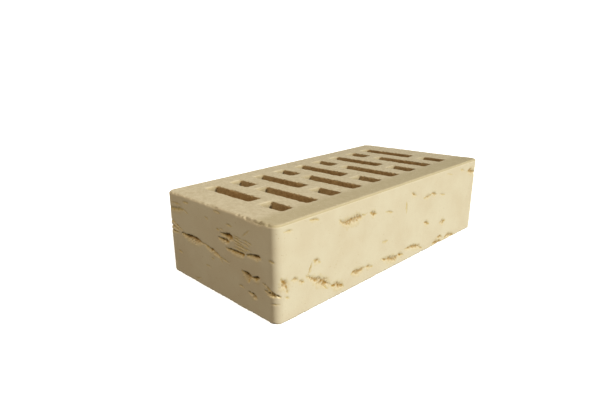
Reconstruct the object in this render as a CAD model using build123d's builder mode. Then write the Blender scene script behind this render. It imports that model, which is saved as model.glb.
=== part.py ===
"""Cored clay facing brick of the single 250 x 120 x 65 format, fired as one piece.

The clay column is pushed through a die, which rounds its four upright arrises and leaves rows
of slots, and a wire then cuts it to height. Three of its faces are torn while it is soft.
Millimetres, +Z up. The origin is the centre of the lower bed, +X runs along the length, and
-Y faces out of the wall.
"""

import os

from build123d import *

# Outline of the brick
length = 250.0
width = 120.0
height = 65.0
corner_radius = 6.0  # upright arrises, rounded by the die
top_arris_radius = 1.5  # edge of the upper bed, rolled over by the cutting wire
bottom_arris_radius = 0.8  # edge of the lower bed, left nearly sharp

# Core slots: each row crosses the width and holds one long and one short slot
slot_rows = 9
slot_width = 11.0
slot_corner_radius = 1.5
short_slot = 20.0
end_wall = 23.0  # clay between a header and the nearest row
side_wall = 19.0  # clay between a stretcher and the slot ends
middle_web = 11.0  # clay between the two slots of a row

# Main gouges: each has its face, depth, half width and deepest line. The line runs from end to end
# through points that are so far right of the middle of the face, seen from outside, and above it.
gouges = [
    ("left", 2.6, 2.0, [(-56, 7.5), (-42, 5.2), (-28, 4.0), (-12, 3.2), (-2, 1.4), (8, -3.0)]),
    ("left", 2.6, 2.3, [(8, 15.8), (13, 16.2), (18, 15.2), (22, 13.2)]),
    ("left", 2.0, 2.0, [(3, 11.4), (10, 11.7), (16, 10.8)]),
    ("left", 1.8, 1.7, [(13, 6.8), (22, 7.0), (31, 7.2)]),
    ("left", 2.2, 1.9, [(33, 7.8), (42, 9.2), (48, 9.2)]),
    ("left", 2.6, 2.4, [(27, -5.6), (33, -5.4), (40, -5.8), (46, -4.8)]),
    ("left", 1.9, 1.8, [(33, -17.6), (39, -18.2), (43, -19.8)]),
    ("left", 1.4, 1.6, [(-54, 19.6), (-44, 21.8), (-36, 23.6)]),
    ("front", 1.5, 2.2, [(-69, 24.4), (-62, 21.0), (-50, 21.0), (-39, 22.2)]),
    ("front", 1.2, 2.0, [(-119, -1.0), (-117.5, -6.0), (-116.5, -11.0)]),
    ("front", 1.6, 2.2, [(-100, -4.6), (-91, -10.2), (-80, -16.4), (-70, -21.8), (-62, -25.6)]),
    ("front", 1.1, 1.8, [(-55, -19.1), (-46, -19.2), (-38, -19.1)]),
    ("front", 1.5, 2.0, [(-19, -18.6), (-9, -21.6), (0, -23.6), (4, -23.0)]),
    ("front", 1.0, 1.5, [(12, -20.0), (26, -21.7), (38, -26.6)]),
    ("front", 1.4, 2.0, [(105, 25.3), (112, 25.2), (119, 23.0)]),
    ("right", 2.4, 2.2, [(-49, 11.5), (-39, 12.1), (-27, 10.3), (-16, 6.5)]),
    ("right", 1.9, 1.8, [(-7, -10.5), (3, -9.9), (15, -13.5)]),
    ("right", 2.5, 2.3, [(21, 17.5), (29, 18.1), (38, 15.7)]),
    ("right", 1.9, 1.8, [(17, 10.9), (26, 10.5), (35, 10.7)]),
    ("right", 2.3, 2.1, [(39, -8.5), (46, -7.9), (54, -10.7)]),
    ("right", 1.7, 1.7, [(-51, -18.5), (-44, -18.1), (-35, -20.7)]),
]
rise = 0.6  # how far a gouge opens above its deepest line, as a share of its half width
fall = 1.4  # how far it slopes out below that line
end_share = 0.15  # how far it still opens at its ends

# Worked out from the sizes above
long_slot = width - 2 * side_wall - middle_web - short_slot
row_pitch = (length - 2 * end_wall - slot_width) / (slot_rows - 1)
first_row = -length / 2 + end_wall + slot_width / 2
long_offset = width / 2 - side_wall - long_slot / 2
short_offset = width / 2 - side_wall - short_slot / 2
faces = {
    "left": Plane((-length / 2, 0, height / 2), x_dir=(0, -1, 0), z_dir=(-1, 0, 0)),
    "front": Plane((0, -width / 2, height / 2), x_dir=(1, 0, 0), z_dir=(0, -1, 0)),
    "right": Plane((length / 2, 0, height / 2), x_dir=(0, 1, 0), z_dir=(1, 0, 0)),
}


def gouge(face, depth, half_width, line):
    """The clay that a gouge takes out: lofted from end to end through wedges across its line."""
    places = [face.from_local_coords(Vector(right, up, 0)) for right, up in line]
    last = len(places) - 1
    with BuildPart() as taken:
        for number, place in enumerate(places):
            along = places[min(number + 1, last)] - places[max(number - 1, 0)]
            share = end_share if number in (0, last) else 1
            with BuildSketch(Plane(place, x_dir=face.z_dir, z_dir=along)):
                Polygon(
                    (-share * depth, 0),
                    (0, share * fall * half_width),
                    (share * depth, 0),
                    (0, -share * rise * half_width),
                    align=None,
                )
        loft(ruled=True)
    return taken.part


torn_out = [gouge(faces[face], depth, half_width, line) for face, depth, half_width, line in gouges]

with BuildPart() as brick:
    # The column as it leaves the die, cut to height
    with BuildSketch():
        RectangleRounded(length, width, corner_radius)
    extrude(amount=height)
    fillet(brick.edges().group_by(Axis.Z)[-1], top_arris_radius)
    fillet(brick.edges().group_by(Axis.Z)[0], bottom_arris_radius)

    # The slots run through from bed to bed, and the long one changes sides from row to row
    with BuildSketch():
        for row in range(slot_rows):
            x = first_row + row * row_pitch
            side = 1 if row % 2 == 0 else -1
            with Locations((x, side * long_offset)):
                RectangleRounded(slot_width, long_slot, slot_corner_radius)
            with Locations((x, -side * short_offset)):
                RectangleRounded(slot_width, short_slot, slot_corner_radius)
    extrude(amount=height, mode=Mode.SUBTRACT)

    # The gouges, steep above their deepest line and sloping out below it
    add(torn_out, mode=Mode.SUBTRACT)

brick.part.label = "brick"

os.makedirs("parts", exist_ok=True)
export_step(brick.part, "parts/brick.step")
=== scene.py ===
"""Looks of a cored clay facing brick: its worn and torn skin, its fired clay, and a plain stage.

The brick is laid out in millimetres and put into the scene in metres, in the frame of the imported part.
"""

import math

import bpy
import numpy as np
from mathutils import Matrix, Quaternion, Vector
from mathutils.geometry import delaunay_2d_cdt


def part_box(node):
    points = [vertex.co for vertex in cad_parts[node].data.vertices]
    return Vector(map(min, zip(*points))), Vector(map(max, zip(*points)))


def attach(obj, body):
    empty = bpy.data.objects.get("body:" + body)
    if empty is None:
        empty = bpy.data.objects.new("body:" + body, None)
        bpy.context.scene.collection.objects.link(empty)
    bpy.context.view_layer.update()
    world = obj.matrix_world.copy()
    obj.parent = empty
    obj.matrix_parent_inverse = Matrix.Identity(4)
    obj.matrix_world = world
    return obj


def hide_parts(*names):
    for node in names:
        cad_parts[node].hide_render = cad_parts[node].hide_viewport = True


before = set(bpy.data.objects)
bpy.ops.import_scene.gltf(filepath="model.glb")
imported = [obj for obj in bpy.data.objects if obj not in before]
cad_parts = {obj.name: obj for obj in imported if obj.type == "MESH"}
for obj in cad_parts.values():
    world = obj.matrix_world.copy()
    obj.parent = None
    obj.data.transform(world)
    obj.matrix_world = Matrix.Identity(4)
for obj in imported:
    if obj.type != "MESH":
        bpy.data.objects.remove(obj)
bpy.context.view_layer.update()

# The brick is one piece of pale straw clay. A column of clay leaves a die with its upright arrises rounded
# and its core slots open, a wire cuts it to height, its faces are torn while it is soft, and it is fired
# whole. The skin below has the shape of the column, and the tears and worn edges are then cut into it.
mm = 0.001
brick_low, brick_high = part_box("brick")
length, width, height = (side / mm for side in brick_high - brick_low)
corner_radius = 6.0
top_arris_radius = 1.5
bottom_arris_radius = 0.8

slot_rows = 9
slot_width = 11.0
slot_corner_radius = 1.5
short_slot = 20.0
end_wall = 23.0
side_wall = 19.0
middle_web = 11.0
mouth_radius = 0.35  # the wire leaves the mouths of the slots slightly rounded
long_slot = width - 2 * side_wall - middle_web - short_slot
row_pitch = (length - 2 * end_wall - slot_width) / (slot_rows - 1)
slots = []
for row in range(slot_rows):
    x = -length / 2 + end_wall + slot_width / 2 + row * row_pitch
    side = 1 if row % 2 == 0 else -1
    slots.append((x, side * (width / 2 - side_wall - long_slot / 2), long_slot))
    slots.append((x, -side * (width / 2 - side_wall - short_slot / 2), short_slot))


def outline_stops(size, radius):
    """Where the runs and turns of a rounded rectangle begin, measured along it."""
    turn = math.pi / 2 * radius
    run_x = size[0] - 2 * radius
    run_y = size[1] - 2 * radius
    return np.cumsum([0, run_x, turn, run_y, turn, run_x, turn, run_y, turn])


def on_outline(size, radius, along, inset):
    """Points along a rounded rectangle, drawn in by inset, and the way out of it at each point.

    It runs from the right end of the back side along the back, the left, the front and the right.
    """
    stops = outline_stops(size, radius)
    heading = np.radians(np.interp(along, stops, [90, 90, 180, 180, 270, 270, 360, 360, 450]))
    x = (size[0] / 2 - radius) * np.interp(along, stops, [1, -1, -1, -1, -1, 1, 1, 1, 1])
    y = (size[1] / 2 - radius) * np.interp(along, stops, [1, 1, 1, -1, -1, -1, -1, 1, 1])
    out = np.stack([np.cos(heading), np.sin(heading)], axis=-1)
    return np.stack([x, y], axis=-1) + np.asarray(radius - inset)[..., None] * out, out


def from_outline(places, centre, size, radius):
    """How far places lie outside a rounded rectangle, and the way out of it from each place."""
    offset = places - np.asarray(centre)
    corner = np.abs(offset) - (np.asarray(size) / 2 - radius)
    beyond = np.maximum(corner, 0)
    reach = np.linalg.norm(beyond, axis=-1, keepdims=True)
    gap = reach[..., 0] + np.minimum(corner.max(axis=-1), 0) - radius
    nearest_side = corner == corner.max(axis=-1, keepdims=True)
    way = np.where(reach > 0, beyond / np.maximum(reach, 1e-9), nearest_side) * np.sign(offset)
    return gap, way


def edge_stops(lower_radius, upper_radius):
    """Where the two rounded edges and the flat of a wall begin, measured up it from bed to bed."""
    quarter = math.pi / 2
    flat = height - lower_radius - upper_radius
    return np.cumsum([0, quarter * lower_radius, flat, quarter * upper_radius])


def over_edges(up, lower_radius, upper_radius):
    """How far a wall with rounded edges is drawn in, its height and its tilt, at distances up it."""
    stops = edge_stops(lower_radius, upper_radius)
    tilt = np.interp(up, stops, [-math.pi / 2, 0, 0, math.pi / 2])
    radius = np.where(tilt < 0, lower_radius, upper_radius)
    upper = height - upper_radius
    middle = np.interp(up, stops, [lower_radius, lower_radius, upper, upper])
    return radius * (1 - np.cos(tilt)), middle + radius * np.sin(tilt), tilt


# Each tear has a face, a depth and a path. A point of a path is its distance to the right of the middle of
# its face, as seen from outside, its height above the lower bed, and the tear's half width there. The path
# is the deepest line of the tear, and the wall above it is steep.
gouges = [
    ("left", 3, [(-42, 34.8, 0.6), (-36, 34.8, 1.5), (-28, 35, 2.2), (-21, 34.7, 2.1), (-15.5, 34.2, 0.6)]),
    ("left", 2, [(-14, 34.4, 0.4), (-9, 33.4, 1.1), (-3, 32.3, 1.4), (2, 30.8, 1.1), (5.5, 29.2, 0.4)]),
    ("left", 2.8, [(7.5, 48, 0.6), (11, 47.8, 1.3), (15, 48.2, 2.1), (18.5, 47.4, 1.9), (20, 46.2, 0.6)]),
    ("left", 2.4, [(33.5, 40.2, 0.5), (38, 40.7, 1), (42.3, 41.4, 1.6), (45.6, 41.4, 1.3), (47, 41, 0.4)]),
    ("left", 2.4, [(28, 26.8, 0.5), (31, 26.6, 1.6), (34, 26.4, 2.2), (37, 26.2, 1.2)]),
    ("left", 2.2, [(34, 14.6, 0.4), (37, 14.4, 1.1), (40, 13.6, 1.6), (42, 12.4, 0.5)]),
    ("front", 0.83, [
        (-68.1, 55, 0.5), (-65.1, 52.8, 1.5), (-60.1, 51.6, 2.7), (-54.1, 51.4, 3.2), (-48.1, 51.8, 3.2),
        (-43.1, 51.8, 1.2), (-38.1, 52.8, 0.4),
    ]),
    ("front", 0.76, [(-120.1, 30.2, 1.1), (-118.1, 27.2, 3.1), (-116.1, 24, 2.6), (-115.5, 20.2, 0.7)]),
    ("front", 0.9, [
        (-99.1, 26, 0.7), (-95.1, 23.2, 1.6), (-90.1, 20.4, 2.7), (-85.1, 17.6, 3.4), (-80.1, 14.8, 3),
        (-75.6, 11.4, 1.1),
    ]),
    ("front", 0.83, [
        (-18.1, 12, 0.5), (-13.1, 10.4, 1.9), (-8.1, 9, 2.7), (-3.1, 7.8, 3), (0.9, 6.8, 3),
        (3.9, 7.6, 0.8),
    ]),
    ("front", 0.83, [(106.4, 56, 0.5), (109.9, 56.4, 2.4), (113.9, 55.6, 3), (118.9, 54, 1.2)]),
    ("front", 0.69, [(55.9, 3.2, 0.7), (60.9, 2.8, 3), (66.9, 2, 2.4), (71.4, 1.4, 0.7)]),
]
grooves = [
    ("left", 2.2, [(4.5, 43.7, 0.5), (8.5, 43.5, 1.2), (12.5, 44, 1.6), (15.5, 43.6, 0.6)]),
    ("left", 1.9, [(13, 38.6, 0.5), (18, 38.7, 1.1), (24, 38.7, 1.4), (29, 39.1, 1.4), (31, 39.2, 0.4)]),
    ("left", 1.3, [(-62, 43.4, 0.7), (-53, 41.4, 0.9), (-47, 39.2, 0.8), (-41, 37.2, 0.4)]),
    ("left", 1.7, [(-64, 39, 1), (-54, 38, 0.9), (-46, 36.8, 0.6)]),
    ("left", 1.2, [(-64, 34.6, 0.8), (-54, 34.2, 0.8), (-46, 34.2, 0.4)]),
    ("left", 1.8, [(32.5, 25.4, 1.4), (34, 23, 1.2), (35, 21, 0.3)]),
    ("left", 1.8, [(38, 26, 0.8), (41, 26.4, 1.4), (44, 27.2, 1.2), (45.5, 27.5, 0.3)]),
    ("left", 1.4, [(48.5, 25.6, 0.3), (53, 23.2, 0.8), (57, 20.8, 0.9), (60, 19.6, 0.7), (62, 19, 0.2)]),
    ("left", 1.8, [(49.5, 21.6, 0.3), (53, 20.6, 1), (56.5, 19.8, 0.8), (59, 19.2, 0.3)]),
    ("front", 0.69, [(-34.6, 52.2, 0.5), (-31.1, 50.8, 2.3), (-28.6, 50, 2), (-26.1, 49.2, 0.5)]),
    ("front", 0.62, [(18.4, 55.2, 0.5), (21.4, 53.6, 1.9), (24.9, 51.4, 0.5)]),
    ("front", 0.55, [(36.9, 47, 0.5), (41.9, 47, 1.8), (47.9, 47.4, 0.5)]),
    ("front", 0.76, [(48.1, 48, 0.5), (51.9, 47.4, 1.8), (56.7, 46, 0.5)]),
    ("front", 0.76, [(116.9, 54.2, 0.8), (120.9, 52.8, 2.2), (125.9, 50.8, 0.8)]),
    ("front", 0.69, [(39.4, 26, 0.5), (42.9, 25, 2.4), (47.7, 22.6, 0.5)]),
    ("front", 0.62, [(65.4, 19, 0.5), (69.9, 19.4, 2.6), (74.7, 18.6, 0.5)]),
    ("front", 0.69, [(-75.1, 10.8, 0.9), (-71.1, 9.6, 2.7), (-66.1, 7.8, 3.1), (-61.6, 5.2, 0.7)]),
    ("front", 0.55, [(-92.6, 34, 0.5), (-89.1, 32.8, 2.2), (-85.6, 30.8, 0.5)]),
    ("front", 0.69, [
        (-54.1, 11.6, 0.5), (-50.1, 12, 2.4), (-45.1, 11.4, 2.6), (-40.6, 11.6, 1.8), (-37.6, 11.6, 0.5),
    ]),
    ("front", 0.55, [(-37.6, 11.6, 0.4), (-34.1, 11.2, 1.8), (-28.6, 9.8, 0.5)]),
    ("front", 0.62, [(2.9, 8.6, 0.5), (6.9, 8, 1.9), (11.9, 6.2, 0.5)]),
    ("front", 0.69, [(13.4, 10.6, 0.5), (19.9, 10, 1.8), (26.9, 9, 2.2), (32.9, 7.2, 2), (39.4, 3.8, 0.5)]),
    ("front", 0.62, [(62.4, 6.4, 0.4), (67.9, 5.8, 1.6), (73.4, 4, 0.4)]),
    ("front", 0.69, [(75.9, 1, 0.7), (80.9, 3.8, 2.2), (86.9, 3, 2), (93.4, 0.4, 0.7)]),
    ("front", 0.55, [(-112.1, 27.2, 0.5), (-109.1, 27, 1.8), (-106.1, 25.8, 0.5)]),
    ("front", 0.55, [(-106.1, 24.6, 0.5), (-103.6, 23.6, 1.9), (-101.1, 22, 0.5)]),
]
scratches = [
    ("left", 1, [(3, 30.6, 0.4), (4.8, 28.8, 0.7), (6, 27, 0.3)]),
    ("left", 0.9, [(5, 30, 0.4), (6.6, 28, 0.7), (7.6, 26.2, 0.3)]),
    ("left", 0.9, [(6.5, 29.8, 0.4), (10.5, 29.2, 0.7), (15.5, 28.5, 0.2)]),
    ("left", 0.8, [(21, 49.8, 0.3), (25, 49.2, 0.7), (29, 48.6, 0.3)]),
    ("left", 0.7, [(30, 49, 0.3), (34.5, 48.4, 0.7), (39, 47.8, 0.3)]),
    ("left", 0.9, [(20, 48.2, 0.3), (24.5, 47.6, 0.8), (30, 46.8, 0.3)]),
    ("left", 0.7, [(29, 47.1, 0.3), (33, 46.4, 0.7), (36.5, 46, 0.3)]),
    ("left", 0.9, [(20, 46.2, 0.4), (25, 45.5, 0.9), (31, 44.6, 0.3)]),
    ("left", 0.8, [(22, 44.1, 0.4), (28, 43.6, 0.9), (34, 42.8, 0.3)]),
    ("left", 0.7, [(30, 44.2, 0.3), (34, 43.6, 0.7), (38, 43.2, 0.3)]),
    ("left", 0.7, [(21, 42, 0.3), (27, 41.5, 0.8), (33, 40.9, 0.3)]),
    ("left", 0.6, [(2.4, 49.4, 0.3), (4.2, 49.5, 0.8), (5.8, 49.2, 0.3)]),
    ("left", 0.5, [(6.4, 50.6, 0.3), (8, 50.8, 0.7), (9.6, 50.6, 0.3)]),
    ("left", 0.6, [(54.5, 13.8, 0.3), (57.5, 14, 0.6), (61, 14, 0.2)]),
    ("left", 0.6, [(-10.6, 55, 0.3), (-8.4, 54.8, 1), (-6.4, 54, 0.3)]),
    ("left", 0.8, [(-49, 19.2, 0.3), (-46, 18.9, 0.9), (-42.5, 18.3, 0.3)]),
    ("left", 0.5, [(-12.5, 18.8, 0.2), (-9, 18.6, 0.7), (-5.5, 18.1, 0.2)]),
    ("left", 0.6, [(13.5, 55.4, 0.3), (16.5, 55.6, 0.9), (19.5, 55.4, 0.3)]),
    ("left", 0.4, [(29.5, 51.4, 0.3), (33, 54, 0.7), (37, 57.2, 0.3)]),
    ("left", 0.6, [(53.5, 42.6, 0.3), (55.8, 42.1, 0.9), (58, 41.2, 0.3)]),
    ("left", 0.9, [(24.6, 16, 0.3), (27, 15.9, 0.9), (30, 15.2, 0.2)]),
    ("left", 0.5, [(-28.5, 3.4, 0.2), (-24, 4.4, 0.6), (-20, 5.8, 0.3)]),
    ("left", 0.8, [(-37.5, 60, 0.4), (-34, 60.6, 1.1), (-30.5, 60.8, 0.4)]),
    ("left", 0.6, [(-38.5, 54.6, 0.3), (-34.5, 53.4, 0.7), (-30.5, 52.4, 0.2)]),
    ("left", 0.8, [(0, 62, 0.4), (3.5, 62, 1), (7.5, 61.4, 0.4)]),
    ("left", 0.5, [(-5, 26.4, 0.3), (-3.4, 25.9, 0.7), (-2, 25.1, 0.2)]),
    ("left", 0.7, [(-57, 51.6, 1), (-50, 52.5, 2.2), (-43, 53.7, 2.2), (-37, 54.5, 0.9)]),
    ("left", 0.35, [(-53, 57.2, 0.4), (-46, 57.6, 0.9), (-40, 57.2, 0.3)]),
    ("front", 0.48, [(-15.6, 48.2, 0.3), (-10.1, 46.7, 0.9), (-5.6, 45.2, 0.3)]),
    ("front", 0.54, [(-96.6, 62, 0.4), (-93.6, 61.6, 1.2), (-90.1, 61, 1.1), (-87.1, 60, 0.3)]),
    ("front", 0.48, [(-118.1, 60, 0.3), (-114.6, 59.9, 0.9), (-110.6, 59.4, 0.3)]),
    ("front", 0.48, [(61.4, 45, 0.3), (65.9, 44, 0.9), (70.4, 42.8, 0.3)]),
    ("front", 0.36, [(-17.9, 25.4, 0.4), (-14.1, 24.8, 1.2), (-10.9, 24.8, 0.4)]),
    ("front", 0.48, [(-117.7, 17.8, 0.3), (-115.7, 17, 1), (-113.9, 15.8, 0.3)]),
    ("front", 0.54, [(-97.1, 25.8, 0.4), (-95.7, 28.4, 1), (-94.5, 31.2, 1), (-93.9, 33.6, 0.3)]),
    ("front", 0.48, [(-84.6, 14.8, 0.3), (-80.6, 11.6, 0.7), (-77.6, 8.6, 0.2)]),
    ("front", 0.3, [(70.4, 60.6, 0.2), (74.9, 59.6, 0.5), (79.9, 58.2, 0.2)]),
    ("front", 0.36, [(93.4, 60.2, 0.3), (97.4, 59.2, 1.1), (101.4, 57.6, 0.3)]),
    ("front", 0.25, [(11.7, 49.7, 0.4), (12.3, 44.7, 1.1), (12.5, 40.2, 0.4)]),
]

# The right end is torn like the left one. The back lies on the belt while the faces are torn, so it has only
# shallow marks. The smaller tears of both are drawn from a fixed seed, clear of the beds and corners.
gouges += [
    ("right", 2.4, [(-49, 44.0, 0.6), (-39, 44.6, 2.2), (-27, 42.8, 2.2), (-16, 39.0, 0.5)]),
    ("right", 1.9, [(-7, 22.0, 0.5), (3, 22.6, 1.8), (15, 19.0, 0.5)]),
    ("right", 2.5, [(21, 50.0, 0.6), (29, 50.6, 2.3), (38, 48.2, 0.5)]),
    ("right", 1.9, [(17, 43.4, 0.5), (26, 43.0, 1.8), (35, 43.2, 0.5)]),
    ("right", 2.3, [(39, 24.0, 0.6), (46, 24.6, 2.1), (54, 21.8, 0.5)]),
    ("right", 1.7, [(-51, 14.0, 0.5), (-44, 14.4, 1.7), (-35, 11.8, 0.5)]),
]
drawn_margin = 8
drawn_tip = 0.3
chance = np.random.default_rng(11)
for face, reach, count, sizes in (
    ("right", width / 2 - 9, 14, (0.6, 1.5)), ("back", length / 2 - 10, 16, (0.4, 0.9)),
):
    for _ in range(count):
        half_width = chance.uniform(*sizes)
        run = chance.uniform(6, 10) * half_width
        right = chance.uniform(-reach, reach - run)
        up = chance.uniform(drawn_margin, height - drawn_margin)
        drop = run * chance.normal(0.15, 0.2)
        bend = run * chance.normal(0, 0.06)
        path = [
            (right, up, drawn_tip),
            (right + run / 2, up - drop / 2 + bend, half_width),
            (right + run, up - drop, drawn_tip),
        ]
        kind = grooves if half_width > 1 else scratches
        kind.append((face, half_width * chance.uniform(0.7, 1.0), path))

brick_stops = outline_stops((length, width), corner_radius)
girth = brick_stops[-1]
face_middle = dict(zip(("back", "left", "front", "right"), (brick_stops[0:8:2] + brick_stops[1:8:2]) / 2))
wall_stops = edge_stops(bottom_arris_radius, top_arris_radius)
wall_rise = wall_stops[-1]
first_flat = wall_stops[1] - bottom_arris_radius  # added to a height, it gives the distance up the wall

torn_spacing = {"left": 0.6, "front": 0.6, "back": 1.2, "right": 1.2}
wall_spacing = 2.4
top_arris_spacing = {"seen": 0.6, "hidden": 1.2}  # the left and front arrises are seen in the photograph
bottom_arris_spacing = {"seen": 0.8, "hidden": 1.6}
corner_spacing = 1.2
spacing_growth = 0.4  # how fast the skin gets coarser away from a tear or an edge
fine_below_top = 3.5  # the skin stays fine so far from an arris or from the side of a tear
fine_above_bottom = 2.0
fine_beside_tear = 1.0
tear_border = 3.0 + wall_spacing / spacing_growth  # further away, a tear doesn't change the spacing


def unrolled(tear):
    """A tear's path on the unrolled wall, in steps of about a millimetre, and its half width at each."""
    face, _, path = tear
    path = np.array(path) + (face_middle[face], first_flat, 0)
    run = np.concatenate([[0], np.cumsum(np.linalg.norm(np.diff(path[:, :2], axis=0), axis=1))])
    steps = np.linspace(0, run[-1], int(run[-1]) + 2)
    right, up, half_width = (np.interp(steps, run, values) for values in path.T)
    return np.stack([right, up], axis=-1), half_width


def spacing_on_wall(places):
    """The wanted spacing of points on the unrolled wall, fine in the tears and at the arrises."""
    to_top = wall_rise - places[:, 1]
    seen = (places[:, 0] > brick_stops[1]) & (places[:, 0] < brick_stops[6])
    at_top = np.where(seen, top_arris_spacing["seen"], top_arris_spacing["hidden"])
    spacing = np.minimum(wall_spacing, at_top + spacing_growth * np.maximum(to_top - fine_below_top, 0))
    at_bottom = np.where(seen, bottom_arris_spacing["seen"], bottom_arris_spacing["hidden"])
    above_fine = np.maximum(places[:, 1] - fine_above_bottom, 0)
    spacing = np.minimum(spacing, at_bottom + spacing_growth * above_fine)
    turning = np.searchsorted(brick_stops, places[:, 0]) % 2 == 0
    spacing = np.where(turning, np.minimum(spacing, corner_spacing), spacing)
    for tear in gouges + grooves + scratches:
        path, half_width = unrolled(tear)
        low, high = path.min(axis=0) - tear_border, path.max(axis=0) + tear_border
        near = ((places > low) & (places < high)).all(axis=1)
        gap = (np.linalg.norm(places[near, None] - path, axis=-1) - 1.5 * half_width).min(axis=1)
        wanted = torn_spacing[tear[0]] + spacing_growth * np.maximum(gap - fine_beside_tear, 0)
        spacing[near] = np.minimum(spacing[near], wanted)
    return spacing


def thinned_lattice(span_x, span_y, finest, spacing_at):
    """Points of a triangular lattice over a rectangle, thinned by halves to the wanted spacing."""
    rise = finest * math.sqrt(3) / 2
    row, column = np.mgrid[0:int(span_y / rise) + 1, 0:int(span_x / finest) + 1].reshape(2, -1)
    places = np.stack([(column + 0.5 * (row % 2)) * finest, row * rise], axis=-1)
    level = np.maximum(np.log2(spacing_at(places) / finest), 0).astype(int)
    step = 2 ** level
    shift = np.where(level > 0, row // step % 2 * (step // 2), 0)
    return places[(row % step == 0) & ((column - shift) % step == 0)]


def triangulated(places, loops):
    """Triangles over flat places, with the edges of the closed loops kept."""
    edges = [(int(a), int(b)) for loop in loops for a, b in zip(loop, np.roll(loop, -1))]
    made = delaunay_2d_cdt([Vector(place) for place in places], edges, [], 0, 1e-6)
    return np.array(made[2])


# Each patch of the skin is its points, the way out of the clay at each, its triangles, and the place of
# each triangle's corners on one flat sheet, which holds the whole skin unrolled side by side
patches = []
sheet_side = 522.0
sheet_gap = 2.0

# The four faces, unrolled as one wall
top_rim_spacing = 0.9
bottom_rim_spacing = 1.2
seam_spacing = 2.0
rim_margin = 0.45
top_rim = np.linspace(0, girth, int(girth / top_rim_spacing) + 1)
bottom_rim = np.linspace(0, girth, int(girth / bottom_rim_spacing) + 1)
seam = np.linspace(0, wall_rise, int(wall_rise / seam_spacing) + 1)[1:-1]
inner = thinned_lattice(girth, wall_rise, min(torn_spacing.values()), spacing_on_wall)
clear = np.minimum(inner[:, 1], wall_rise - inner[:, 1]) > rim_margin
clear &= np.minimum(inner[:, 0], girth - inner[:, 0]) > 2 * rim_margin
wall = np.concatenate([
    np.stack([bottom_rim, np.zeros_like(bottom_rim)], axis=-1),
    np.stack([np.full_like(seam, girth), seam], axis=-1),
    np.stack([top_rim[::-1], np.full_like(top_rim, wall_rise)], axis=-1),
    np.stack([np.zeros_like(seam), seam[::-1]], axis=-1),
    inner[clear],
])
border = np.arange(len(wall) - clear.sum())
triangles = triangulated(wall, [border])
inset, level, tilt = over_edges(wall[:, 1], bottom_arris_radius, top_arris_radius)
flat, out = on_outline((length, width), corner_radius, wall[:, 0], inset)
points = np.column_stack([flat, level])
outward = np.column_stack([out * np.cos(tilt)[:, None], np.sin(tilt)])
second_row = wall[triangles, 0].mean(axis=1) > girth / 2
fold = np.array([-girth / 2, wall_rise + sheet_gap])
sheet = wall[triangles] + (sheet_gap, width + 2 * sheet_gap) + second_row[:, None, None] * fold
patches.append((points, outward, triangles, sheet))

# The slot walls, each a tube from mouth to mouth, with its points closest along the ragged far edge
tube_spacing = [0.8, 0.8, 2.4, 1.2, 1.6, 1.2, 0.65, 0.8]  # on each run and turn of a slot's outline
mouth_turn = math.pi / 2 * mouth_radius
tube_rise = edge_stops(mouth_radius, mouth_radius)[-1]
above_mouth = np.array([0, mouth_turn / 2, mouth_turn, mouth_turn + 3])  # rows of points from the lower mouth
below_mouth = np.array([0, 0.28, 0.55, 1.1, 1.8, 2.6, 3.6, 6.0, 14.0, 32.0])  # and from the upper one
tube_up = np.concatenate([above_mouth, tube_rise - below_mouth[::-1]])
pen = np.array([sheet_gap, width + 2 * wall_rise + 4 * sheet_gap])
mouths = []
for x, y, slot_length in slots:
    size = (slot_width, slot_length)
    stops = outline_stops(size, slot_corner_radius)
    tube_girth = stops[-1]
    around = np.concatenate([
        np.linspace(start, end, round((end - start) / spacing), endpoint=False)
        for start, end, spacing in zip(stops, stops[1:], tube_spacing)
    ] + [stops[-1:]])
    along, up = (grid.ravel() for grid in np.meshgrid(around, tube_up))
    inset, level, tilt = over_edges(up, mouth_radius, mouth_radius)
    flat, out = on_outline(size, slot_corner_radius, along, -inset)
    points = np.column_stack([flat + (x, y), level])
    outward = np.column_stack([-out * np.cos(tilt)[:, None], np.sin(tilt)])
    first = np.add.outer(np.arange(len(tube_up) - 1) * len(around), np.arange(len(around) - 1)).ravel()
    above = first + len(around)
    triangles = np.concatenate([
        np.stack([first, above, first + 1], axis=-1),
        np.stack([first + 1, above, above + 1], axis=-1),
    ])
    if pen[0] + tube_girth + sheet_gap > sheet_side:
        pen = np.array([sheet_gap, pen[1] + tube_rise + sheet_gap])
    sheet = np.stack([along, up], axis=-1)[triangles] + pen
    pen = pen + (tube_girth + sheet_gap, 0)
    patches.append((points, outward, triangles, sheet))
    mouths.append((size, (x, y), around[:-1]))

# The two beds, with the mouths of the slots left open
bed_spacing = {"top": 2.4, "bottom": 4.0}
rim_spacing = {"top": 0.9, "bottom": 1.3}
fine_on_bed = 1.5  # the beds stay fine so far from their rims and from the slots
rim_clearance = 0.6  # how far inner points keep from a rim, as a share of its spacing


def from_slots(places):
    """How far places lie from the nearest slot and before its back end, and the way out of it from each."""
    nearest = np.full(len(places), np.inf)
    to_end = np.zeros(len(places))
    way_out = np.zeros((len(places), 2))
    for x, y, slot_length in slots:
        gap, way = from_outline(places, (x, y), (slot_width, slot_length), slot_corner_radius)
        closer = gap < nearest
        nearest = np.where(closer, gap, nearest)
        to_end = np.where(closer, y + slot_length / 2 - places[:, 1], to_end)
        way_out = np.where(closer[:, None], way, way_out)
    return nearest, to_end, way_out


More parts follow.
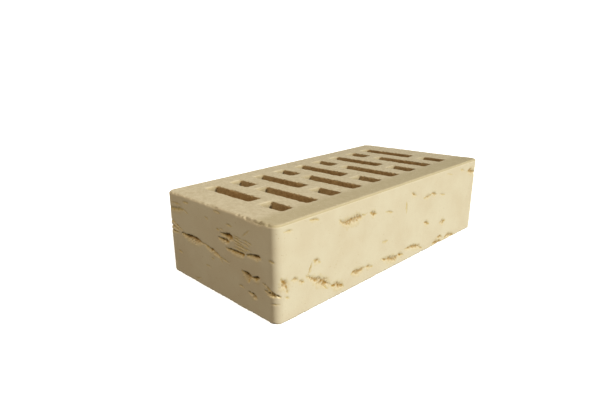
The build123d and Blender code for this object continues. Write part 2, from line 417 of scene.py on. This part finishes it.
for bed, level, facing, rim_radius, rim in (
    ("top", height, 1, top_arris_radius, top_rim), ("bottom", 0.0, -1, bottom_arris_radius, bottom_rim),
):
    half = np.array([length, width]) / 2

    def clearances(places):
        """How far places on the bed lie inside its rim, and outside the mouths of the slots."""
        inside = -from_outline(places, (0, 0), (length, width), corner_radius)[0] - rim_radius
        return inside, from_slots(places)[0] - mouth_radius

    def spacing_on_bed(places):
        """The wanted spacing of points on the bed, fine at its rim and at the mouths of the slots."""
        nearest = np.minimum(*clearances(places - half))
        wanted = rim_spacing[bed] + spacing_growth * np.maximum(nearest - fine_on_bed, 0)
        return np.minimum(bed_spacing[bed], wanted)

    inner = thinned_lattice(length, width, rim_spacing[bed], spacing_on_bed) - half
    inner = inner[np.minimum(*clearances(inner)) > rim_clearance * rim_spacing[bed]]
    rings = [on_outline((length, width), corner_radius, rim[:-1], rim_radius)[0]]
    rings += [on_outline(size, slot_corner_radius, around, -mouth_radius)[0] + centre
              for size, centre, around in mouths]
    ends = np.cumsum([len(ring) for ring in rings])
    loops = np.split(np.arange(ends[-1]), ends[:-1])
    flat = np.concatenate(rings + [inner])
    triangles = triangulated(flat, loops)
    ring_number = np.full(len(flat), -1)
    for number, loop in enumerate(loops):
        ring_number[loop] = number
    corners = ring_number[triangles]
    over_a_slot = (corners[:, 0] > 0) & (corners == corners[:, :1]).all(axis=1)
    triangles = triangles[~over_a_slot]
    if facing < 0:
        triangles = triangles[:, ::-1]
    points = np.column_stack([flat, np.full(len(flat), level)])
    outward = np.tile([0.0, 0.0, facing], (len(flat), 1))
    beside = 0 if bed == "top" else length + sheet_gap
    sheet = flat[triangles] + half + (sheet_gap + beside, sheet_gap)
    patches.append((points, outward, triangles, sheet))

# The patches joined into one closed skin
starts = np.cumsum([0] + [len(patch[0]) for patch in patches])
points = np.concatenate([patch[0] for patch in patches])
outward = np.concatenate([patch[1] for patch in patches])
triangles = np.concatenate([patch[2] + start for patch, start in zip(patches, starts)])
sheet = np.concatenate([patch[3] for patch in patches]) / sheet_side
_, first, joined = np.unique(np.round(points, 3), axis=0, return_index=True, return_inverse=True)
points, outward, triangles = points[first], outward[first], joined.ravel()[triangles]

# For each point: its nearest arris, how far the point reaches towards it, the way out of the clay there,
# and how deep, how ragged and how soft that arris is worn. The left end's upper arris is worn most.
to_face, face_way = from_outline(points[:, :2], (0, 0), (length, width), corner_radius)
to_slot, to_slot_end, slot_way = from_slots(points[:, :2])
left_wear_at = [-60, -25, -15, 28, 36, 42, 52, 58]
left_wear_depth = [0.8, 0.8, 1.0, 1.2, 1.7, 2.0, 1.9, 0.9]
right_wear = 1.1
front_wear = 0.65
back_wear = 0.9
bottom_wear = 0.6
bottom_crumbs = 0.35
arris_softness = 0.4
left_wear = np.interp(-points[:, 1], left_wear_at, left_wear_depth)
end_wear = np.where(face_way[:, 0] < 0, left_wear, right_wear)
side_wear = np.where(face_way[:, 1] < 0, front_wear, back_wear)
top_wear = face_way[:, 0] ** 2 * end_wear + face_way[:, 1] ** 2 * side_wear
top_crumbs = 0.1 + 0.15 * np.minimum(face_way[:, 0], 0) ** 2

# The wire leaves a slot's near edge crisp, breaks its far edge off steeply and smears its back end
near = np.minimum(slot_way[:, 0], 0) ** 2
far = np.maximum(slot_way[:, 0], 0) ** 2
smeared = np.maximum(slot_way[:, 1], 0) ** 2
broken = far * (1 - smeared)
mouth_wear = 0.3 - 0.1 * near + 0.4 * broken + 0.8 * smeared
mouth_crumbs = 0.4 + 0.1 * near + 0.9 * broken - 0.2 * smeared
mouth_softness = 0.3 + 1.2 * smeared
up, down = np.array([0, 0, 1]), np.array([0, 0, -1])
out_of_face = np.column_stack([face_way, 0 * to_face])
into_slot = np.column_stack([-slot_way, 0 * to_slot])
into_mouth = into_slot + (1 - 0.9 * broken)[:, None] * up
from_wall = np.abs(to_slot)
to_top, to_bottom = height - points[:, 2], points[:, 2]
edges = [
    (-to_face + to_top, out_of_face + up, top_wear, top_crumbs, arris_softness),
    (-to_face + to_bottom, out_of_face + down, bottom_wear, bottom_crumbs, arris_softness),
    (from_wall + to_top, into_mouth, mouth_wear, mouth_crumbs, mouth_softness),
    (from_wall + to_bottom, into_slot + down, bottom_wear, bottom_crumbs, arris_softness),
]
nearest_edge = np.argmin([edge[0] for edge in edges], axis=0)
edge_reach = np.choose(nearest_edge, [-edge[0] / math.sqrt(2) for edge in edges])
edge_wear = np.choose(nearest_edge, [edge[2] + 0 * to_face for edge in edges])
edge_crumbs = np.choose(nearest_edge, [edge[3] + 0 * to_face for edge in edges])
edge_softness = np.choose(nearest_edge, [edge[4] + 0 * to_face for edge in edges])
edge_out = np.stack([edge[1] for edge in edges])[nearest_edge, np.arange(len(points))] / math.sqrt(2)

# The clay in the slots is darker from just below the beds. Their back ends are paler, down to the middle
# of the brick, and from there painted bounce light thins out along the slots' side walls.
core_start, core_blend = 0.1, 0.6
bounce_run, paling_depth = 22.0, 30.0
below_bed = np.minimum(to_top, to_bottom)
in_core = np.clip((below_bed - core_start) / core_blend, 0, 1) * (to_slot < 0.5)
# Painted bounce light: a slot's side walls are paler near its back end, fading along the slot
painted_bounce_along_slot = 0.3 * in_core * (1 - smeared) * np.clip(1 - to_slot_end / bounce_run, 0, 1)
dust = np.maximum(smeared, painted_bounce_along_slot) * (from_wall < 1.0) * (to_top < paling_depth)

skin = bpy.data.meshes.new("brick_skin")
skin.from_pydata((points * mm).tolist(), [], triangles.tolist())
for name, kind, field, values in (
    ("outward", "FLOAT_VECTOR", "vector", outward),
    ("edge_out", "FLOAT_VECTOR", "vector", edge_out),
    ("edge_reach", "FLOAT", "value", edge_reach * mm),
    ("edge_wear", "FLOAT", "value", edge_wear * mm),
    ("edge_crumbs", "FLOAT", "value", edge_crumbs * mm),
    ("edge_softness", "FLOAT", "value", edge_softness * mm),
    ("core", "FLOAT", "value", in_core),
    ("dust", "FLOAT", "value", dust),
):
    skin.attributes.new(name, kind, "POINT").data.foreach_set(field, values.ravel().astype(np.float32))
skin.uv_layers.new(name="OFBake").uv.foreach_set("vector", sheet.ravel().astype(np.float32))
brick = bpy.data.objects.new("textured_brick", skin)
bpy.context.scene.collection.objects.link(brick)


def add_node(tree, kind, sockets=(), **options):
    """Adds a node, sets its options and fills its sockets: a socket is linked, and a value is set."""
    made = tree.nodes.new(kind)
    for name, value in options.items():
        setattr(made, name, value)
    for name, value in dict(sockets).items():
        if isinstance(value, bpy.types.NodeSocket):
            tree.links.new(value, made.inputs[name])
        else:
            made.inputs[name].default_value = value
    return made


def number(tree, operation, *values):
    """A Math node's result."""
    return add_node(tree, "ShaderNodeMath", enumerate(values), operation=operation).outputs[0]


def vector(tree, operation, *values):
    """A Vector Math node's vector."""
    return add_node(tree, "ShaderNodeVectorMath", enumerate(values), operation=operation).outputs[0]


def measure(tree, operation, *values):
    """A Vector Math node's number, such as a length or a dot product."""
    return add_node(tree, "ShaderNodeVectorMath", enumerate(values), operation=operation).outputs["Value"]


def scaled(tree, direction, amount):
    """A vector times a number."""
    made = add_node(tree, "ShaderNodeVectorMath", {0: direction, "Scale": amount}, operation="SCALE")
    return made.outputs[0]


def ramp(tree, value, start, end, low=0.0, high=1.0):
    """A smooth step of a value from low to high, between start and end."""
    made = add_node(tree, "ShaderNodeMapRange", interpolation_type="SMOOTHSTEP")
    names = ("Value", "From Min", "From Max", "To Min", "To Max")
    for name, given in zip(names, (value, start, end, low, high)):
        socket = next(socket for socket in made.inputs if socket.name == name and socket.enabled)
        if isinstance(given, bpy.types.NodeSocket):
            tree.links.new(given, socket)
        else:
            socket.default_value = given
    return made.outputs[0]


def lumps(tree, place, size, seed, detail=2.0, roughness=0.55):
    """A noise node whose lumps have about the given size, in millimetres."""
    sockets = {"Vector": place, "W": seed, "Scale": 1 / (size * mm), "Detail": detail, "Roughness": roughness}
    return add_node(tree, "ShaderNodeTexNoise", sockets, noise_dimensions="4D")


def new_tree(name, inputs):
    """A Geometry Nodes tree on a mesh, with its input and output nodes and the named inputs."""
    tree = bpy.data.node_groups.new(name, "GeometryNodeTree")
    tree.interface.new_socket("Geometry", in_out="OUTPUT", socket_type="NodeSocketGeometry")
    tree.interface.new_socket("Geometry", in_out="INPUT", socket_type="NodeSocketGeometry")
    for label, kind in inputs.items():
        tree.interface.new_socket(label, in_out="INPUT", socket_type=kind)
    return tree, add_node(tree, "NodeGroupInput"), add_node(tree, "NodeGroupOutput")


def read(tree, name, kind="FLOAT"):
    """A named attribute of the skin as a field."""
    return add_node(tree, "GeometryNodeInputNamedAttribute", {"Name": name}, data_type=kind).outputs[0]


def finish_tree(tree, geometry, output):
    """Ends a tree with realized instances and the clay on every face."""
    realized = add_node(tree, "GeometryNodeRealizeInstances", {"Geometry": geometry})
    coated = add_node(tree, "GeometryNodeSetMaterial", {"Geometry": realized.outputs[0], "Material": clay})
    tree.links.new(coated.outputs[0], output.inputs[0])


def put_on(piece, name, tree, inputs):
    """Adds a tree to a piece as a modifier, with its inputs set by their sockets' identifiers."""
    modifier = piece.modifiers.new(name, "NODES")
    modifier.node_group = tree
    for item in tree.interface.items_tree:
        if item.in_out == "INPUT" and item.name in inputs:
            modifier[item.identifier] = inputs[item.name]


clay = bpy.data.materials.new("straw_clay")

# Wear: the faces are never quite flat, and the arrises and the mouths of the slots are planed off by a
# ragged amount. It is kept as "worn", for the clay.
wear, given, result = new_tree("worn_column", {
    "Waviness": "NodeSocketFloat", "Raggedness": "NodeSocketFloat", "Seed": "NodeSocketFloat",
})
place = add_node(wear, "GeometryNodeInputPosition").outputs[0]
wave = lumps(wear, place, 32.0, given.outputs["Seed"], detail=1.0).outputs["Fac"]
wave = number(wear, "MULTIPLY", ramp(wear, wave, 0.25, 0.75), given.outputs["Waviness"])
broad = ramp(wear, lumps(wear, place, 8.0, given.outputs["Seed"]).outputs["Fac"], 0.3, 0.7, 0.6, 1.3)
crumbs = ramp(wear, lumps(wear, place, 1.8, given.outputs["Seed"], 3.0).outputs["Fac"], 0.25, 0.75, -1.0, 1.0)
depth = number(wear, "MULTIPLY", read(wear, "edge_wear"), broad)
ragged = number(wear, "MULTIPLY", read(wear, "edge_crumbs"), given.outputs["Raggedness"])
depth = number(wear, "MULTIPLY_ADD", crumbs, ragged, depth)
reach = number(wear, "ADD", read(wear, "edge_reach"), depth)
planed = number(wear, "SMOOTH_MAX", reach, 0.0, read(wear, "edge_softness"))
worn = ramp(wear, planed, 0.0, 0.6 * mm)
move = vector(
    wear, "ADD",
    scaled(wear, read(wear, "outward", "FLOAT_VECTOR"), number(wear, "MULTIPLY", wave, -1.0)),
    scaled(wear, read(wear, "edge_out", "FLOAT_VECTOR"), number(wear, "MULTIPLY", planed, -1.0)),
)
stored = add_node(wear, "GeometryNodeStoreNamedAttribute", {
    "Geometry": given.outputs["Geometry"], "Name": "worn", "Value": worn,
}, data_type="FLOAT", domain="POINT")
moved = add_node(wear, "GeometryNodeSetPosition", {"Geometry": stored.outputs[0], "Offset": move})
finish_tree(wear, moved.outputs[0], result)
put_on(brick, "wear", wear, {"Waviness": 0.12 * mm, "Raggedness": 1.0, "Seed": 3.0})

# Tears: each point of the skin finds the nearest place on the tear paths, by a ragged measure, and sinks
# there. Above its path a tear is narrow and steep, below it the tear slopes out slowly, and its surface is
# fibrous along the path and crumbly. A path only tears the skin near it, so the slots stay whole. How open
# and how brown a tear is, is kept as "torn" and "stained", for the clay.
tearing, given, result = new_tree("torn_skin", {
    "Paths": "NodeSocketObject", "Raggedness": "NodeSocketFloat", "Fraying": "NodeSocketFloat",
    "Reach Above": "NodeSocketFloat", "Reach Below": "NodeSocketFloat",
    "Steepness Above": "NodeSocketFloat", "Steepness Below": "NodeSocketFloat",
    "Fibre": "NodeSocketFloat", "Crumbs": "NodeSocketFloat", "Stain": "NodeSocketFloat",
    "Seed": "NodeSocketFloat",
})
source = add_node(tearing, "GeometryNodeObjectInfo", {
    "Object": given.outputs["Paths"],
}, transform_space="RELATIVE")
curves = add_node(tearing, "GeometryNodeMeshToCurve", {"Mesh": source.outputs["Geometry"]})
smooth = add_node(tearing, "GeometryNodeCurveSplineType", {
    "Curve": curves.outputs[0],
}, spline_type="CATMULL_ROM")
fine = add_node(tearing, "GeometryNodeResampleCurve", {
    "Curve": smooth.outputs[0], "Length": 0.35 * mm,
}, mode="LENGTH")
captured = add_node(tearing, "GeometryNodeCaptureAttribute", {"Geometry": fine.outputs[0]}, domain="POINT")
for kind, label, field in (
    ("FLOAT", "Run", add_node(tearing, "GeometryNodeSplineParameter").outputs["Length"]),
    ("VECTOR", "Tangent", add_node(tearing, "GeometryNodeInputTangent").outputs[0]),
):
    captured.capture_items.new(kind, label)
    tearing.links.new(field, captured.inputs[label])
dots = add_node(tearing, "GeometryNodeCurveToPoints", {
    "Curve": captured.outputs["Geometry"],
}, mode="EVALUATED")
position = add_node(tearing, "GeometryNodeInputPosition").outputs[0]
seed = given.outputs["Seed"]
middle = (0.5, 0.5, 0.5)
wander = vector(tearing, "SUBTRACT", lumps(tearing, position, 4.0, seed).outputs["Color"], middle)
jitter = vector(tearing, "SUBTRACT", lumps(tearing, position, 1.5, seed).outputs["Color"], middle)
wander = vector(tearing, "ADD", wander, scaled(tearing, jitter, 0.6))
ragged = vector(tearing, "ADD", position, scaled(tearing, wander, given.outputs["Raggedness"]))
nearest = add_node(tearing, "GeometryNodeSampleNearest", {
    "Geometry": dots.outputs["Points"], "Sample Position": ragged,
}, domain="POINT").outputs["Index"]


def on_path(kind, field):
    """A value of the tear path at the place nearest to a point of the skin."""
    sample = add_node(tearing, "GeometryNodeSampleIndex", {
        "Geometry": dots.outputs["Points"], "Index": nearest,
    }, data_type=kind, domain="POINT")
    value = next(socket for socket in sample.inputs if socket.name == "Value" and socket.enabled)
    tearing.links.new(field, value)
    return next(socket for socket in sample.outputs if socket.enabled)


def between(tree, amount, first, second):
    """A number between two, by an amount from 0 to 1."""
    return add_node(tree, "ShaderNodeMix", {0: amount, 2: first, 3: second}, data_type="FLOAT").outputs[0]


out = read(tearing, "outward", "FLOAT_VECTOR")
reach = on_path("FLOAT", read(tearing, "half_width"))
tangent = on_path("FLOAT_VECTOR", captured.outputs["Tangent"])
path_place = on_path("FLOAT_VECTOR", position)
offset = vector(tearing, "SUBTRACT", ragged, path_place)
across = measure(tearing, "DOT_PRODUCT", offset, vector(tearing, "CROSS_PRODUCT", out, tangent))
past_end = number(tearing, "DIVIDE", measure(tearing, "DOT_PRODUCT", offset, tangent), reach)
above = ramp(tearing, across, -0.1 * mm, 0.1 * mm)
share = between(tearing, above, given.outputs["Reach Below"], given.outputs["Reach Above"])
to_side = number(tearing, "DIVIDE", across, number(tearing, "MULTIPLY", reach, share))
past_squared = number(tearing, "MULTIPLY", past_end, past_end)
from_path = number(tearing, "SQRT", number(tearing, "MULTIPLY_ADD", to_side, to_side, past_squared))
crumb = ramp(tearing, lumps(tearing, position, 1.6, seed, 3.0).outputs["Fac"], 0.25, 0.75, -1.0, 1.0)
from_path = number(tearing, "MULTIPLY_ADD", crumb, given.outputs["Fraying"], from_path)
distance = measure(tearing, "DISTANCE", ragged, path_place)
from_path = number(tearing, "ADD", from_path, ramp(tearing, distance, 9 * mm, 12 * mm, 0.0, 9.0))
inside = number(tearing, "SUBTRACT", 1.0, from_path)
steepness = between(tearing, above, given.outputs["Steepness Below"], given.outputs["Steepness Above"])
opened = ramp(tearing, number(tearing, "MULTIPLY", inside, steepness), 0.0, 1.0)
frayed = ramp(tearing, inside, -0.7, 0.0)
fibre_place = add_node(tearing, "ShaderNodeCombineXYZ", {
    "X": number(tearing, "DIVIDE", on_path("FLOAT", captured.outputs["Run"]), 5 * mm),
    "Y": number(tearing, "DIVIDE", across, 1.2 * mm),
}).outputs[0]
fibre = add_node(tearing, "ShaderNodeTexNoise", {
    "Vector": fibre_place, "W": seed, "Scale": 1.0, "Detail": 2.0,
}, noise_dimensions="4D").outputs["Fac"]
fibre = ramp(tearing, fibre, 0.25, 0.75, -1.0, 1.0)
rough = number(tearing, "MULTIPLY_ADD", fibre, given.outputs["Fibre"], 1.0)
depth = on_path("FLOAT", read(tearing, "depth"))
sunk = number(tearing, "MULTIPLY", depth, number(tearing, "MULTIPLY", opened, rough))
crumbled = number(tearing, "MULTIPLY", number(tearing, "MULTIPLY", crumb, frayed), given.outputs["Crumbs"])
sunk = number(tearing, "MAXIMUM", number(tearing, "ADD", sunk, crumbled), 0.0)
torn = number(tearing, "MAXIMUM", opened, number(tearing, "MULTIPLY", frayed, 0.3))
stained = number(tearing, "MULTIPLY", sunk, given.outputs["Stain"])
stored = given.outputs["Geometry"]
for name, value in (
    ("torn", number(tearing, "MAXIMUM", read(tearing, "torn"), torn)),
    ("stained", number(tearing, "MAXIMUM", read(tearing, "stained"), stained)),
):
    stored = add_node(tearing, "GeometryNodeStoreNamedAttribute", {
        "Geometry": stored, "Name": name, "Value": value,
    }, data_type="FLOAT", domain="POINT").outputs[0]
moved = add_node(tearing, "GeometryNodeSetPosition", {
    "Geometry": stored, "Offset": scaled(tearing, out, number(tearing, "MULTIPLY", sunk, -1.0)),
})
finish_tree(tearing, moved.outputs[0], result)

# The gouges and grooves of the ends are deep, with steep upper walls. Those of the sides, and all scratches,
# are shallow. Every tear gets shallower as it narrows.
ends, sides = ("left", "right"), ("front", "back")
taper = 0.7
deep = {"Reach Above": 0.8, "Reach Below": 1.9, "Steepness Above": 2.4, "Steepness Below": 1.4,
        "Fibre": 0.35, "Stain": 0.45}
shallow = {"Reach Above": 0.9, "Reach Below": 1.2, "Steepness Above": 0.9, "Steepness Below": 0.9,
           "Fibre": 0.5, "Stain": 2.4}
tear_kinds = {
    "end_gouges": (gouges, ends, deep | {
        "Raggedness": 2.4 * mm, "Fraying": 0.35, "Crumbs": 0.35 * mm, "Seed": 1.0}),
    "side_gouges": (gouges, sides, shallow | {
        "Raggedness": 3.2 * mm, "Fraying": 0.55, "Crumbs": 0.2 * mm, "Seed": 7.0}),
    "end_grooves": (grooves, ends, deep | {
        "Raggedness": 2.0 * mm, "Fraying": 0.35, "Crumbs": 0.3 * mm, "Seed": 2.0}),
    "side_grooves": (grooves, sides, shallow | {
        "Raggedness": 2.6 * mm, "Fraying": 0.55, "Crumbs": 0.2 * mm, "Seed": 9.0}),
    "end_scratches": (scratches, ends, shallow | {
        "Raggedness": 1.4 * mm, "Fraying": 0.4, "Crumbs": 0.2 * mm, "Stain": 0.6, "Seed": 5.0}),
    "side_scratches": (scratches, sides, shallow | {
        "Raggedness": 1.4 * mm, "Fraying": 0.4, "Crumbs": 0.2 * mm, "Stain": 2.0, "Seed": 5.0}),
}
path_pieces = []
for name, (tears, torn_faces, settings) in tear_kinds.items():
    route, links, half_widths, depths = [], [], [], []
    for face, depth, path in (tear for tear in tears if tear[0] in torn_faces):
        right, up, half_width = np.array(path, dtype=float).T
        plan, _ = on_outline((length, width), corner_radius, (right + face_middle[face]) % girth, 0.0)
        links += [(len(route) + step, len(route) + step + 1) for step in range(len(path) - 1)]
        route += np.column_stack([plan, up]).tolist()
        half_widths += (half_width * mm).tolist()
        depths += (depth * mm * (half_width / half_width.max()) ** taper).tolist()
    paths = bpy.data.meshes.new(name)
    paths.from_pydata((np.array(route) * mm).tolist(), links, [])
    paths.attributes.new("half_width", "FLOAT", "POINT").data.foreach_set("value", half_widths)
    paths.attributes.new("depth", "FLOAT", "POINT").data.foreach_set("value", depths)
    piece = bpy.data.objects.new(name, paths)
    bpy.context.scene.collection.objects.link(piece)
    path_pieces.append(piece)
    put_on(brick, name, tearing, {"Paths": piece} | settings)

# The clay: pale straw with faint clouds on the skin that the die smoothed, and mottled where the wire cut
# it, in a darker tone that is partly the cut clay's own and partly painted shade, with painted glints.
# Painted shade darkens the front rail of the beds and the front upper arris. The slots are tan, paler at
# their back ends, with painted bounce light that thins out along each slot. The clay is golden to brown
# where it is torn, with specks and a fine grain all over
clay.use_nodes = True
shade = clay.node_tree
shade.nodes.clear()


def colour(red, green, blue):
    """A linear colour from the red, green and blue of a screen, 0 to 255."""
    return tuple(((c / 255 + 0.055) / 1.055) ** 2.4 for c in (red, green, blue)) + (1.0,)


def mixed(tree, amount, first, second):
    """A colour between two, by an amount from 0 to 1."""
    return add_node(tree, "ShaderNodeMix", {0: amount, 6: first, 7: second}, data_type="RGBA").outputs[2]


straw = colour(186, 176, 151)
pale_straw = colour(190, 182, 158)
# The two bed tones below are the wire-cut clay's own, made darker still as painted shade of the rough cut
# face
cut_straw_and_shade = colour(173, 164, 140)
pale_cut_and_shade = colour(183, 175, 152)
# The sandy tone below is real wear on the worn edges, and painted shade on the front rail and the front upper
# arris
sandy_and_shade = colour(158, 149, 121)
# A pale tone for painted glints on the beds
glint_tone = colour(208, 201, 178)
golden = colour(177, 160, 112)
brown = colour(147, 117, 60)
# A paler tone for the back ends of the slots, also laid along them as painted bounce light
paler_slot_tone = colour(150, 141, 117)
tan = colour(148, 124, 86)
pale_tan = colour(166, 143, 105)
speck = colour(162, 146, 113)
spot = add_node(shade, "ShaderNodeTexCoord").outputs["Object"]
attribute = {name: add_node(shade, "ShaderNodeAttribute", attribute_name=name).outputs
             for name in ("torn", "stained", "worn", "core", "dust", "outward")}
torn, stained, worn, core, paled_ends_and_bounce = (
    attribute[name]["Fac"] for name in ("torn", "stained", "worn", "core", "dust"))
rail_shade_share, pale_end_and_bounce_share, wear_share = 0.55, 0.9, 0.2  # how far each one changes the colour
facing = add_node(shade, "ShaderNodeSeparateXYZ", {0: attribute["outward"]["Vector"]}).outputs["Z"]
cut = ramp(shade, number(shade, "ABSOLUTE", facing), 0.6, 0.95)
clouds = ramp(shade, lumps(shade, spot, 22.0, 0.0, 3.0).outputs["Fac"], 0.3, 0.7)
mottle = ramp(shade, lumps(shade, spot, 2.6, 9.0, 4.0, 0.7).outputs["Fac"], 0.38, 0.62)
# Painted shade: the beds are darker towards their front rail
to_front = number(shade, "MULTIPLY", add_node(shade, "ShaderNodeSeparateXYZ", {0: spot}).outputs["Y"], -1.0)
front_rail_shade = ramp(shade, to_front, 37 * mm, 47 * mm)
# Painted glints: pale flecks scattered over the beds
painted_glints = ramp(shade, lumps(shade, spot, 1.3, 12.0, 2.0).outputs["Fac"], 0.66, 0.74, 0.0, 0.7)
# The beds: the mottled cut clay, partly painted shade
bed = mixed(shade, mottle, cut_straw_and_shade, pale_cut_and_shade)
bed = mixed(shade, number(shade, "MULTIPLY", front_rail_shade, rail_shade_share), bed, sandy_and_shade)
bed = mixed(shade, painted_glints, bed, glint_tone)
# Painted shade on the front upper arris, so that its rounding doesn't light up
front_arris_shade = number(shade, "MULTIPLY", front_rail_shade, ramp(shade, facing, 0.05, 0.35, 0.0, 0.9))
side = mixed(shade, front_arris_shade, mixed(shade, clouds, straw, pale_straw), sandy_and_shade)
tone = mixed(shade, cut, side, bed)
specks = ramp(shade, lumps(shade, spot, 1.1, 4.0, 1.0).outputs["Fac"], 0.68, 0.76, 0.0, 0.5)
tone = mixed(shade, specks, tone, speck)
tone = mixed(shade, core, tone, mixed(shade, mottle, tan, pale_tan))
# Paler back ends of the slots, and painted bounce light thinning out along them
tone = mixed(shade, number(shade, "MULTIPLY", paled_ends_and_bounce, pale_end_and_bounce_share), tone, paler_slot_tone)
patchy = ramp(shade, lumps(shade, spot, 3.0, 8.0, 3.0).outputs["Fac"], 0.35, 0.65, 0.65, 1.0)
bare = mixed(shade, ramp(shade, stained, 0.2 * mm, 1.1 * mm), golden, brown)
tone = mixed(shade, number(shade, "MULTIPLY", torn, patchy), tone, bare)
tone = mixed(shade, number(shade, "MULTIPLY", worn, wear_share), tone, sandy_and_shade)
grain = lumps(shade, spot, 0.7, 2.0, 4.0, 0.65).outputs["Fac"]
coarse = lumps(shade, spot, 2.4, 6.0, 3.0).outputs["Fac"]
loosened = number(shade, "MAXIMUM", torn, worn)
relief = number(shade, "MULTIPLY_ADD", coarse, ramp(shade, loosened, 0.0, 1.0, 0.2, 1.5), grain)
bump = add_node(shade, "ShaderNodeBump", {"Strength": 0.35, "Distance": 0.25 * mm, "Height": relief})
surface = add_node(shade, "ShaderNodeBsdfPrincipled", {
    "Base Color": tone, "Roughness": 0.92, "Specular IOR Level": 0.25, "Normal": bump.outputs[0],
})
finish = add_node(shade, "ShaderNodeOutputMaterial")
shade.links.new(surface.outputs[0], finish.inputs["Surface"])

# The finished brick as a plain mesh
formed = bpy.data.meshes.new_from_object(brick.evaluated_get(bpy.context.evaluated_depsgraph_get()))
brick.modifiers.clear()
brick.data = formed
formed.name = "textured_brick"
formed.shade_smooth()
bpy.data.meshes.remove(skin)
for piece in path_pieces:
    bpy.data.objects.remove(piece)
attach(brick, "root")
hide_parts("brick")

# The stage is a wide, plain pale floor, in metres, that rises slowly all round like a shallow bowl. It glows
# a little, so the brick's shadow on it is faint.
inner_radius = 0.3
flat_radius = 1.0
floor_radius = 8.0
rim_height = 2.0
floor_glow = 0.4
turns = 96
bowl_rings = 21
out_share = np.linspace(0, 1, bowl_rings)
radii = np.concatenate([[inner_radius], flat_radius + (floor_radius - flat_radius) * out_share])
levels = np.concatenate([[0.0], rim_height * out_share ** 2])
angle = np.arange(turns) * 2 * math.pi / turns
ring_points = np.concatenate([
    np.column_stack([radius * np.cos(angle), radius * np.sin(angle), np.full(turns, level)])
    for radius, level in zip(radii, levels)
])
faces = [tuple(range(turns))]
for first in range(0, turns * (len(radii) - 1), turns):
    for turn in range(turns):
        after = (turn + 1) % turns
        faces.append((first + turn, first + turns + turn, first + turns + after, first + after))
floor_mesh = bpy.data.meshes.new("floor")
floor_mesh.from_pydata(ring_points.tolist(), [], faces)
floor_mesh.shade_smooth()
floor = bpy.data.objects.new("floor", floor_mesh)
bpy.context.scene.collection.objects.link(floor)
paper = bpy.data.materials.new("floor_paper")
paper.use_nodes = True
paper_surface = paper.node_tree.nodes["Principled BSDF"]
paper_surface.inputs["Base Color"].default_value = (0.85, 0.85, 0.84, 1.0)
paper_surface.inputs["Emission Color"].default_value = (1.0, 1.0, 1.0, 1.0)
paper_surface.inputs["Emission Strength"].default_value = floor_glow
paper_surface.inputs["Roughness"].default_value = 1.0
paper_surface.inputs["Specular IOR Level"].default_value = 0.0
floor_mesh.materials.append(paper)
floor.visible_diffuse = False  # it throws no light back on the brick's shaded sides

# Light: a low white sun from the front and a little to the right, a large warm lamp at the upper left, which
# lights the left end, and a nearly dark room.
room_strength, room_tint = 0.12, (1.0, 0.95, 0.88, 1.0)
key_strength, key_tint = 3.58, (1.0, 1.0, 1.0)
warm_power, warm_tint = 7.3, (1.0, 0.89, 0.79)
world = bpy.data.worlds.new("room")
bpy.context.scene.world = world
world.use_nodes = True
background = world.node_tree.nodes["Background"]
background.inputs["Color"].default_value = room_tint
background.inputs["Strength"].default_value = room_strength


def add_lamp(name, kind, power, tint, towards_lamp):
    """A lamp of a kind, with its power and tint, that shines from a direction."""
    lamp = bpy.data.lights.new(name, kind)
    lamp.energy = power
    lamp.color = tint
    piece = bpy.data.objects.new(name, lamp)
    bpy.context.scene.collection.objects.link(piece)
    piece.rotation_mode = "QUATERNION"
    piece.rotation_quaternion = towards_lamp.to_track_quat("Z", "Y")
    return piece


key_turn, key_height = math.radians(18), math.radians(27)
towards_key = Vector((math.sin(key_turn), -math.cos(key_turn), math.tan(key_height)))
key = add_lamp("key_lamp", "SUN", key_strength, key_tint, towards_key)
key.data.angle = math.radians(10)
warm_place = Vector((-0.93, -0.06, 0.87))
left_end = Vector((brick_low.x, 0, 0))
warm = add_lamp("warm_lamp", "AREA", warm_power, warm_tint, warm_place - left_end)
warm.location = warm_place
warm.data.size = 0.5
warm.visible_camera = False

# The camera stands where the photograph was taken from, in front of the left end. The photograph shows the
# brick right of its middle, so the lens is shifted.
camera = bpy.data.objects.new("camera", bpy.data.cameras.new("camera"))
bpy.context.scene.collection.objects.link(camera)
camera_place = Vector((-292.4, -239.1, 153.8)) * mm
camera_aim = Vector((-94.2, 4.1, 51.4)) * mm
camera_roll = Quaternion((0, 0, 1), math.radians(-2.47))
camera.location = camera_place
camera.rotation_mode = "QUATERNION"
camera.rotation_quaternion = (camera_aim - camera_place).to_track_quat("-Z", "Y") @ camera_roll
camera.data.sensor_width = 36.0
camera.data.lens = 27.55
camera.data.shift_x = 0.0918
camera.data.shift_y = 0.0059
camera.data.clip_start = 0.01
bpy.context.scene.camera = camera
bpy.context.scene.view_settings.view_transform = "Standard"
bpy.context.scene.view_settings.look = "High Contrast"
